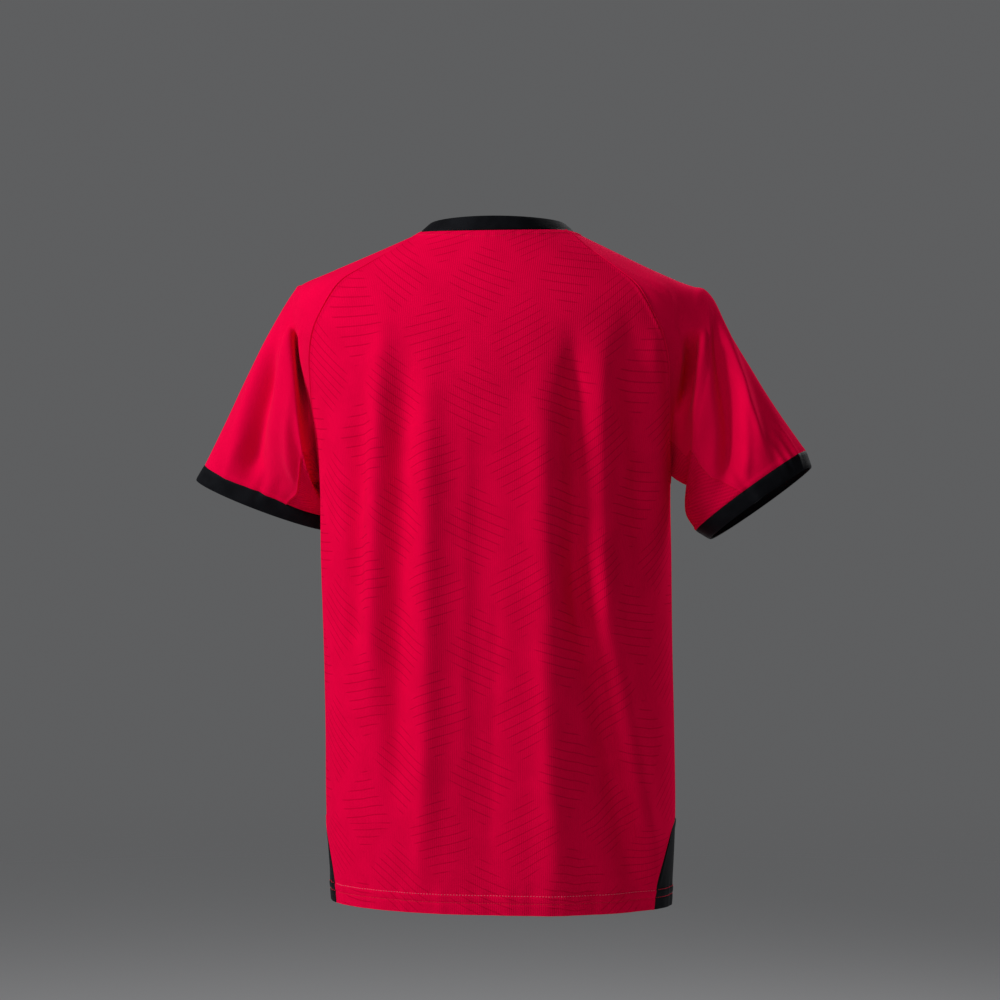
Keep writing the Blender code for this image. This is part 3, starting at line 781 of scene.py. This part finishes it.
def diamond_strokes(nodes, across, down):
    """Thin slanted strokes in a lattice of diamonds, turned the other way in each next column."""
    calc = nodes.math
    over = calc("DIVIDE", across, DIAMOND_WIDTH)
    below = calc("DIVIDE", down, DIAMOND_HEIGHT)
    first, second = calc("ADD", over, below), calc("SUBTRACT", over, below)
    inside = None
    for value in (first, second):
        share = calc("FRACT", calc("ADD", value, DIAMONDS_ADDED))
        near = calc("MINIMUM", share, calc("SUBTRACT", 1.0, share))
        mask = nodes.step(near, *DIAMOND_EDGE)
        inside = mask if inside is None else calc("MULTIPLY", inside, mask)
    cells = calc("ADD", calc("FLOOR", first), calc("FLOOR", second))
    parity = calc("MODULO", calc("ADD", cells, 2 * DIAMONDS_ADDED), 2.0)
    slant = calc("MULTIPLY_ADD", nodes.step(parity, 0.4, 0.6), 2.0, -1.0)
    along = calc("MULTIPLY", calc("MULTIPLY", slant, STROKE_SLANT), across)
    level = calc("ADD", calc("ADD", down, along), PITCHES_ADDED * STROKE_PITCH)
    share = calc("FRACT", calc("DIVIDE", level, STROKE_PITCH))
    off_centre = calc("ABSOLUTE", calc("SUBTRACT", share, 0.5))
    away = calc("MULTIPLY", off_centre, STROKE_PITCH)
    stroke = nodes.step(away, STROKE_WIDTH, STROKE_WIDTH * 2, 1.0, 0.0)
    return calc("MULTIPLY", stroke, inside)


KNIT_RIB, KNIT_ROW, KNIT_HOLLOWS, KNIT_RELIEF, STROKE_DEPTH = 2.2, 1.7, 0.2, 0.16, 0.5


def red_knit():
    """Body knit: fine vertical ribs crossed by rows of tiny mesh, with the stroke pattern."""
    material, nodes = new_material("jersey_rib_mesh_knit", RED, 0.56, 0.05, RED_SHEEN, 0.0)
    across, down = nodes.place()
    ribs = nodes.wave(across, KNIT_RIB)
    rows = nodes.wave(down, KNIT_ROW)
    weave = nodes.math("MULTIPLY", ribs, nodes.math("MULTIPLY_ADD", rows, 0.5, 0.5))
    mottle, shade = nodes.mottled_red(38.0, 0.0, 0.22)
    hollows = nodes.math("MULTIPLY_ADD", weave, -KNIT_HOLLOWS, KNIT_HOLLOWS)
    ribbed = nodes.mix(hollows, shade, RED_DARK)
    strokes = nodes.math("MULTIPLY", diamond_strokes(nodes, across, down), STROKE_DEPTH)
    nodes.colour(nodes.mix(strokes, ribbed, RED_DEEP))
    nodes.roughness(mottle, 0.52, 0.62)
    nodes.bump(weave, KNIT_RELIEF)
    return material


GRAIN_PITCH, CROSS_PITCH, CROSS_SLANT, GRAIN_SHARE = 1.5, 1.2, 0.4, 0.7
GRAIN_HOLLOWS, GRAIN_RELIEF = 0.12, 0.08


def red_interlock():
    """Sleeve knit: smooth, with a fine diagonal grain and a soft sheen."""
    material, nodes = new_material("jersey_interlock", RED, 0.5, 0.2, RED_SHEEN, 0.0)
    across, down = nodes.place()
    grain = nodes.wave(nodes.math("ADD", across, down), GRAIN_PITCH)
    slanted = nodes.math("SUBTRACT", across, nodes.math("MULTIPLY", down, CROSS_SLANT))
    cross = nodes.math("MULTIPLY", nodes.wave(slanted, CROSS_PITCH), 1 - GRAIN_SHARE)
    weave = nodes.math("MULTIPLY_ADD", grain, GRAIN_SHARE, cross)
    mottle, shade = nodes.mottled_red(30.0, 0.0, 0.16)
    hollows = nodes.math("MULTIPLY_ADD", weave, -GRAIN_HOLLOWS, GRAIN_HOLLOWS)
    nodes.colour(nodes.mix(hollows, shade, RED_DARK))
    nodes.roughness(mottle, 0.42, 0.50)
    nodes.bump(weave, GRAIN_RELIEF)
    return material


MESH_PITCH, MESH_DARK, MESH_RELIEF = 3.1, 0.6, 0.25


def red_mesh():
    """Gusset knit: rows of small holes set on the slant; its darker red is painted shade."""
    material, nodes = new_material("jersey_micro_mesh", RED_DARK, 0.62, 0.04, RED_SHEEN, 0.0)
    across, down = nodes.place()
    first = nodes.wave(nodes.math("ADD", across, down), MESH_PITCH)
    second = nodes.wave(nodes.math("SUBTRACT", across, down), MESH_PITCH)
    holes = nodes.math("MULTIPLY", first, second)
    # Painted shade: the gusset's red leans 25 to 55 per cent towards the darker red, where the
    # body's leans 0 to 22, for the shade under the arm; the mottle within that range is random
    # tone.
    _, shade = nodes.mottled_red(30.0, 0.25, 0.55)
    nodes.colour(nodes.mix(nodes.math("MULTIPLY", holes, MESH_DARK), shade, RED_DEEP))
    nodes.bump(nodes.math("SUBTRACT", 1.0, holes), MESH_RELIEF)
    return material


RIB_PITCH, RIB_ROW, RIB_SHARE, RIB_LIGHT, RIB_RELIEF = 1.6, 1.1, 0.75, 0.35, 0.12
BLACK_MOTTLE, BLACK_MOTTLE_DETAIL, BLACK_MOTTLE_SHADE = 55.0, 4.0, (0.35, 0.7)


def black_rib():
    """Bands and insets: near-black fine rib."""
    material, nodes = new_material("jersey_black_rib", BLACK, 0.55, 0.01, BLACK_SHEEN, 0.05)
    across, down = nodes.place()
    ribs = nodes.wave(across, RIB_PITCH)
    rows = nodes.wave(down, RIB_ROW)
    weave = nodes.math("MULTIPLY_ADD", ribs, RIB_SHARE, nodes.math("MULTIPLY", rows, 1 - RIB_SHARE))
    mottle = nodes.noise(BLACK_MOTTLE, BLACK_MOTTLE_DETAIL)
    shade = nodes.mix(nodes.step(mottle, *BLACK_MOTTLE_SHADE), BLACK, BLACK_LIGHT)
    nodes.colour(nodes.mix(nodes.math("MULTIPLY", weave, RIB_LIGHT), shade, BLACK_LIGHT))
    nodes.roughness(mottle, 0.44, 0.6)
    nodes.bump(weave, RIB_RELIEF)
    return material


THREAD_TWIST, THREAD_DARK, THREAD_RELIEF = 900.0, 0.7, 0.1


def thread_material(name, colour):
    """Sewing thread with a fine irregular twist."""
    material, nodes = new_material(name, colour, 0.5, 0.08, colour, 0.0)
    twist = nodes.noise(THREAD_TWIST, 1.0)
    nodes.colour(nodes.mix(twist, colour, tuple(part * THREAD_DARK for part in colour)))
    nodes.bump(twist, THREAD_RELIEF)
    return material


# ---- cloth pieces

KNIT, INTERLOCK, MESH, BLACK_RIB = red_knit(), red_interlock(), red_mesh(), black_rib()
RED_THREAD = thread_material("jersey_thread_red", RED_THREAD_COLOUR)
PINK_THREAD = thread_material("jersey_thread_pink", PINK_THREAD_COLOUR)

# The columns lie closer together beside a panel's side edges, where its seams are.
SEAM_SHARES = np.array((0.9975, 0.995, 0.992, 0.988))
EVEN_SHARE = 0.98


def spread(edge, count):
    """Turns from -edge to edge, half evenly by turn and half evenly by width."""
    even = np.linspace(-EVEN_SHARE, EVEN_SHARE, count - 2 * len(SEAM_SHARES) - 1)
    share = np.concatenate(([-1], -SEAM_SHARES, even, SEAM_SHARES[::-1], [1]))
    by_width = np.degrees(np.arcsin(share * np.sin(np.radians(edge))))
    return (edge * share + by_width) / 2


# Each row of waves gives how many there are all round, their height and their start, and each row
# of HEM_WAVE_LEVELS how high above the hem they are strongest, how wide that is, and their share.
HEM_DEPTH = 20.0
HEM_EDGE = (HEM_DEPTH - 0.5, HEM_DEPTH + 1.5)
HEM_STITCHES = (12.0, HEM_DEPTH)
HEM_STEP, HEM_PUCKER = 0.8, 0.4
HEM_WAVES = ((31, 1.0, 0.0), (53, 0.7, 1.3), (79, 0.5, 0.4))
HEM_WAVE_LEVELS = ((HEM_DEPTH, 7, 1.0), (6, 8, 0.8))
HEM_GROOVE_WIDTH, HEM_GROOVE_DEPTH = 1.2, 0.5


def ripple(angle, waves):
    """The sum of the waves at an angle."""
    return sum(high * np.sin(angle * many + start) for many, high, start in waves)


def hem_height(turn, points):
    """The turned-up hem: one more layer of cloth, puckered a little by its stitching."""
    above = points[..., 2] - HEM_LEVEL
    layer = HEM_STEP * (1 - ease(above, HEM_EDGE))
    near = sum(share * hump(above - level, width) for level, width, share in HEM_WAVE_LEVELS)
    for level in HEM_STITCHES:
        layer -= HEM_GROOVE_DEPTH * hump(above - level, HEM_GROOVE_WIDTH)
    return layer + HEM_PUCKER * ripple(np.radians(turn), HEM_WAVES) * near


NECK_SEAM_POINTS = 720
NECK_SEAM = body_surface(full_turn(NECK_SEAM_POINTS), 0.0)
NECK_STRIP, NECK_LIFT, NECK_PUCKER, NECK_GROOVE = 8.0, 0.6, 0.13, 0.3
NECK_STARTS, NECK_ENDS = (0.0, 1.0), (NECK_STRIP, NECK_STRIP + 2)
NECK_PUCKER_STARTS = (1.0, 5.0)
NECK_WAVES = ((31, 1.0, 0.0), (47, 0.8, 0.9))
FAR_FROM_NECK = 99.0
POINTS_AT_A_TIME = 4000


def neck_height(points):
    """The collar's seam allowance, turned down below the cloth and puckered by its topstitching."""
    flat = points.reshape(-1, 3)
    run = np.full(len(flat), FAR_FROM_NECK)
    near = np.flatnonzero(flat[:, 2] > NECK_SEAM[:, 2].min() - 2 * NECK_STRIP)
    for first in range(0, len(near), POINTS_AT_A_TIME):
        here = near[first:first + POINTS_AT_A_TIME]
        away = flat[here][:, None, :] - NECK_SEAM[None, :, :]
        run[here] = np.sqrt(np.min(np.sum(away**2, axis=-1), axis=1))
    run = run.reshape(points.shape[:-1])
    waves = ripple(np.arctan2(points[..., 0], points[..., 1]), NECK_WAVES)
    strip = (1 - ease(run, NECK_ENDS)) * ease(run, NECK_STARTS)
    lift = NECK_LIFT + NECK_PUCKER * waves * ease(run, NECK_PUCKER_STARTS)
    return lift * strip - NECK_GROOVE * hump(run - NECK_STRIP, 1.0)


def body_cloth(turn, row):
    """Points and normals of the body surface with hem and neck relief."""
    turn, row = alike(turn, row)
    points, normals = body_surface(turn, row), body_normal(turn, row)
    lift = hem_height(turn, points) + neck_height(points)
    return points + normals * lift[..., None], normals


def stands_for(made, node):
    """The piece in the place of its solid, which is hidden."""
    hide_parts(node)
    return made


def body_piece(name, turn, rows, material, node):
    """A piece of cloth on the body, from its turns at each of its ring rows."""
    points, normals = body_cloth(turn, rows[:, None])
    places = cut_places(points)
    points = seam_ridge(points, normals, (FIRST_SIDE, LAST_SIDE))
    return stands_for(shell(name, points, normals, SHELL, material, places), node)


def body_panel(front, count, node):
    """Back or front panel, from the neck seam down to the hem."""
    rows = np.concatenate((RAGLAN_ROWS, LOWER_ROWS, INSET_ROWS[1:]))
    turn = spread(panel_edge(rows, front)[:, None], count)
    turn = 180 - turn if front else turn
    return body_piece(f"{node}_cloth", turn, rows, KNIT, node)


def side_inset(word, side):
    """Rounded inset over the foot of a side seam."""
    rows = INSET_ROWS[1:]
    turn = side * SIDE_TURN + inset_turn(rows)[:, None] * np.linspace(-1, 1, INSET_COLUMNS + 1)
    name, node = f"inset_{word}_cloth", f"side_inset_{word}"
    return body_piece(name, turn, rows, BLACK_RIB, node)


def sleeve_pieces(word, side):
    """Raglan sleeve, its underarm gusset and its cuff, on one tube of points."""
    points, normals, over_count = sleeve_tube(side)
    over = np.arange(over_count)
    under = np.append(np.arange(over_count - 1, points.shape[1]), 0)
    start = np.abs(around_ring(GUSSET_AT_ARMHOLE)[0])
    below_neck = ease(start, (NECK_SHARE, NECK_SHARE + BELOW_NECK))
    made = {}
    for kind, part, material, slot, share in (
        ("sleeve", over, INTERLOCK, "red_interlock", below_neck[over]),
        ("gusset", under, MESH, "red_mesh", 1.0),
    ):
        own, facing = points[:-1, part], normals[:-1, part]
        places = cut_places(own)
        own = own + facing * neck_height(own)[..., None]
        own = seam_ridge(own, facing, (TOP, FOOT, FIRST_SIDE, LAST_SIDE), True, share)
        sewn = shell(f"{kind}_{word}_cloth", own, facing, SHELL, material, places)
        made[kind] = stands_for(sewn, f"{kind}_{word}")
    made["cuff"] = band(f"cuff_{word}", points[-2:], normals[-2:])
    return made


def band(node, edges, normals):
    """A closed band of rib, plump between its seam and its turned edge."""
    steps = np.linspace(0, 1, BAND_ROWS + 1)[:, None, None]
    turned = unit(normals[0] + (normals[1] - normals[0]) * steps)
    plump = (1 - (2 * steps - 1) ** BAND_FLATNESS) * BAND_SWELL
    outer = edges[0] + (edges[1] - edges[0]) * steps + turned * plump
    places = np.stack((arc_lengths(outer, 1), arc_lengths(outer, 0)), axis=-1) * MM
    made = shell(f"{node}_cloth", outer, turned, RIB_SHELL, BLACK_RIB, places, closed=True)
    return stands_for(made, node)


def collar():
    """Crew collar: a band that leans in over the neck, more at the sides and the front."""
    turn = COLLAR_START + full_turn(COLLAR_COLUMNS)
    foot = body_surface(turn, 0.0)
    angle = np.radians(turn)
    behind = np.cos(angle) > 0
    far_rise = np.where(behind, COLLAR_BACK_RISE, COLLAR_FRONT_RISE)
    rise = COLLAR_SIDE_RISE + (far_rise - COLLAR_SIDE_RISE) * np.cos(angle) ** 2
    width = BODY["half_width"][0] - COLLAR_SIDE_RUN
    depth = np.where(behind, BODY["back"][0] - COLLAR_BACK_RUN, BODY["front"][0] - COLLAR_FRONT_RUN)
    top = np.stack((width * np.sin(angle), depth * np.cos(angle), foot[:, 2] + rise), axis=-1)
    edges = np.stack((foot, top))
    mitre = body_normal(turn, 0.0)
    return band("collar", edges, np.stack((mitre, -ring_grid_normals(edges)[1])))


# ---- stitches

STITCH_SIDES = 6
STITCH_PROFILE = ((-0.5, 0.0), (-0.42, 0.75), (0.0, 1.0), (0.42, 0.75), (0.5, 0.0))
STITCH_TIP, STITCH_RAISED, STITCH_REACH = 0.12, 0.4, 0.6
# Length, gap and radius of the stitches.
LOWER_STITCH, UPPER_STITCH, NECK_STITCH = (2.1, 0.9, 0.28), (1.7, 1.5, 0.36), (1.9, 0.7, 0.2)
STITCH_END_TURN = 0.7
HEM_LINE_POINTS, INSET_LINE_POINTS, NECK_LINE_POINTS = 400, 120, 900
LEVEL_ROUNDS = 6
NECK_PROBE_ROW = 0.1


def stitch_row(points, normals, length, gap, radius):
    """Corners and faces of a row of small thread loops along a line on the cloth."""
    run = np.concatenate(((0,), np.cumsum(np.linalg.norm(np.diff(points, axis=0), axis=-1))))

    def at(place, values):
        return np.stack([np.interp(place, run, values[:, axis]) for axis in range(3)], -1)

    centres = np.arange(length / 2 + gap, run[-1] - length / 2, length + gap)
    middle, out = at(centres, points), unit(at(centres, normals))
    along = unit(at(centres + STITCH_REACH, points) - at(centres - STITCH_REACH, points))
    side = np.cross(along, out)
    rings = []
    for place, size in STITCH_PROFILE:
        for angle in np.arange(STITCH_SIDES) * 2 * math.pi / STITCH_SIDES:
            across = side * math.cos(angle) + out * math.sin(angle)
            swell = max(size, STITCH_TIP) * radius
            rings.append(middle + along * place * length + across * swell)
    squares = grid_squares(len(STITCH_PROFILE), STITCH_SIDES, True)
    every = squares + (np.arange(len(centres)) * len(rings))[:, None, None]
    return np.stack(rings, axis=1).reshape(-1, 3), every.reshape(-1, 4)


def stitches(name, lines, material, form):
    """One piece of every row of stitches along the lines."""
    points, faces, used = [], [], 0
    for line, facing in lines:
        corners, squares = stitch_row(line + facing * form[-1] * STITCH_RAISED, facing, *form)
        points.append(corners)
        faces.append(squares + used)
        used += len(corners)
    made = mesh_object(name, np.concatenate(points), np.concatenate(faces), material)
    return made


def level_row(turn, level):
    """The ring rows at which the body surface near the hem has the level."""
    row = np.full(turn.shape, HEM_ROW)
    for _ in range(LEVEL_ROUNDS):
        row = row + (body_surface(turn, row)[..., 2] - level) / LAST_RING_HEIGHT
    return row


def hem_lines(middle, half_width, count, way=1):
    """The lower and the upper row of hem stitching over a piece, about its middle turn."""
    lines = []
    for above in HEM_STITCHES:
        edge = half_width(np.array(HEM_ROW - above / LAST_RING_HEIGHT)) - STITCH_END_TURN
        turn = middle + way * edge * np.linspace(-1, 1, count)
        lines.append(body_cloth(turn, level_row(turn, HEM_LEVEL + above)))
    return lines


def neck_line():
    """The topstitching round the neck, one line below the collar seam."""
    turn = np.linspace(0, 360, NECK_LINE_POINTS)
    below = body_surface(turn, NECK_PROBE_ROW)
    run = np.linalg.norm(below - body_surface(turn, 0.0), axis=-1)
    return [body_cloth(turn, NECK_STRIP * NECK_PROBE_ROW / run)]


# ---- room, lights, camera

# Name, place and size in metres, and power in watts of each soft light.
LIGHTS = (
    ("key", (2.0, 1.15, 1.15), 0.6, 58),
    ("soft_fill", (0.2, 2.7, 1.5), 1.2, 16),
    ("front_key", (-1.7, -1.85, 1.15), 0.8, 40),
)
LIT_PLACE = (0, 0, -0.35)
FLOOR_LEVEL, FLOOR_RADIUS, FLOOR_FADE = -1.45, 9.0, (2.5, 8.5)
FLOOR_CORNERS = 96
FLOOR_PAINT, FLOOR_ROUGHNESS = (0.78, 0.78, 0.79), 0.8
SURROUNDINGS = (0.80, 0.81, 0.83)
SURROUNDINGS_STRENGTH = 0.14


def floor_paint():
    """Pale matt paint that fades into the even surroundings well away from the jersey."""
    material, nodes = new_material("floor_paint", FLOOR_PAINT, FLOOR_ROUGHNESS)
    length = nodes.add("ShaderNodeVectorMath", operation="LENGTH")
    nodes.join(nodes.add("ShaderNodeTexCoord").outputs["Object"], length.inputs[0])
    fade = nodes.step(length.outputs["Value"], *FLOOR_FADE, 1.0, 0.0)
    nodes.join(fade, nodes.shader.inputs["Alpha"])
    return material


def room():
    """Plain pale floor, even surroundings and soft lights."""
    mesh = bpy.data.meshes.new("floor")
    turn = np.radians(full_turn(FLOOR_CORNERS))
    rim = np.stack((np.cos(turn), np.sin(turn), np.zeros(len(turn))), -1) * FLOOR_RADIUS
    mesh.from_pydata(rim.tolist(), [], [tuple(range(len(turn)))])
    mesh.materials.append(floor_paint())
    floor = add_object("floor", mesh)
    floor.location.z = FLOOR_LEVEL
    world = bpy.data.worlds.new("studio")
    world.use_nodes = True
    background = world.node_tree.nodes["Background"]
    background.inputs[0].default_value = (*SURROUNDINGS, 1)
    background.inputs[1].default_value = SURROUNDINGS_STRENGTH
    bpy.context.scene.world = world
    for name, place, size, power in LIGHTS:
        data = bpy.data.lights.new(name, "AREA")
        data.shape, data.size, data.energy = "DISK", size, power
        light = add_object(name, data)
        light.location = place
        aim = Vector(LIT_PLACE) - Vector(place)
        light.rotation_euler = aim.to_track_quat("-Z", "Y").to_euler()


# The camera stands at the photograph's angle. All are in metres but for the turn and the sensor.
CAMERA_TURN = 189.0
CAMERA_DISTANCE = 3.0
CAMERA_LEVEL = -0.284
CAMERA_ASIDE = 0.0032
FRAME_WIDTH = 1.0593
SENSOR_WIDTH = 36


def camera():
    """The photograph's camera, level and square to the jersey's middle."""
    turn = math.radians(CAMERA_TURN)
    back = Vector((math.sin(turn), -math.cos(turn), 0))
    right = Vector((math.cos(turn), math.sin(turn), 0))
    data = bpy.data.cameras.new("camera")
    data.sensor_width = SENSOR_WIDTH
    data.lens = SENSOR_WIDTH * CAMERA_DISTANCE / FRAME_WIDTH
    made = add_object("camera", data)
    made.location = back * CAMERA_DISTANCE + right * CAMERA_ASIDE + Vector((0, 0, CAMERA_LEVEL))
    made.rotation_euler = (-back).to_track_quat("-Z", "Y").to_euler()
    bpy.context.scene.camera = made
    bpy.context.scene.view_settings.view_transform = "Standard"


# ---- the jersey

camera()
room()
SIDES = (("left", 1), ("right", -1))
back = body_panel(False, BACK_COLUMNS, "back")
front = body_panel(True, FRONT_COLUMNS, "front")
sides = {word: sleeve_pieces(word, side) for word, side in SIDES}
insets = {word: side_inset(word, side) for word, side in SIDES}
neck = collar()
panel_lines = {
    "back": hem_lines(0, lambda row: panel_edge(row, False), HEM_LINE_POINTS),
    "front": hem_lines(180, lambda row: panel_edge(row, True), HEM_LINE_POINTS, -1),
}
hem_rows = {"back": [], "front": []}
for number, (kind, thread, form) in enumerate((
    ("hem_stitches", RED_THREAD, LOWER_STITCH), ("hem_upper_stitches", PINK_THREAD, UPPER_STITCH),
)):
    for node, lines in panel_lines.items():
        hem_rows[node].append(stitches(f"{kind}_{node}", [lines[number]], thread, form))
neck_row = stitches("neck_stitches", neck_line(), RED_THREAD, NECK_STITCH)
for word, side in SIDES:
    lines = hem_lines(side * SIDE_TURN, inset_turn, INSET_LINE_POINTS)
    name = f"inset_stitches_{word}"
    stitches(name, lines, RED_THREAD, LOWER_STITCH)
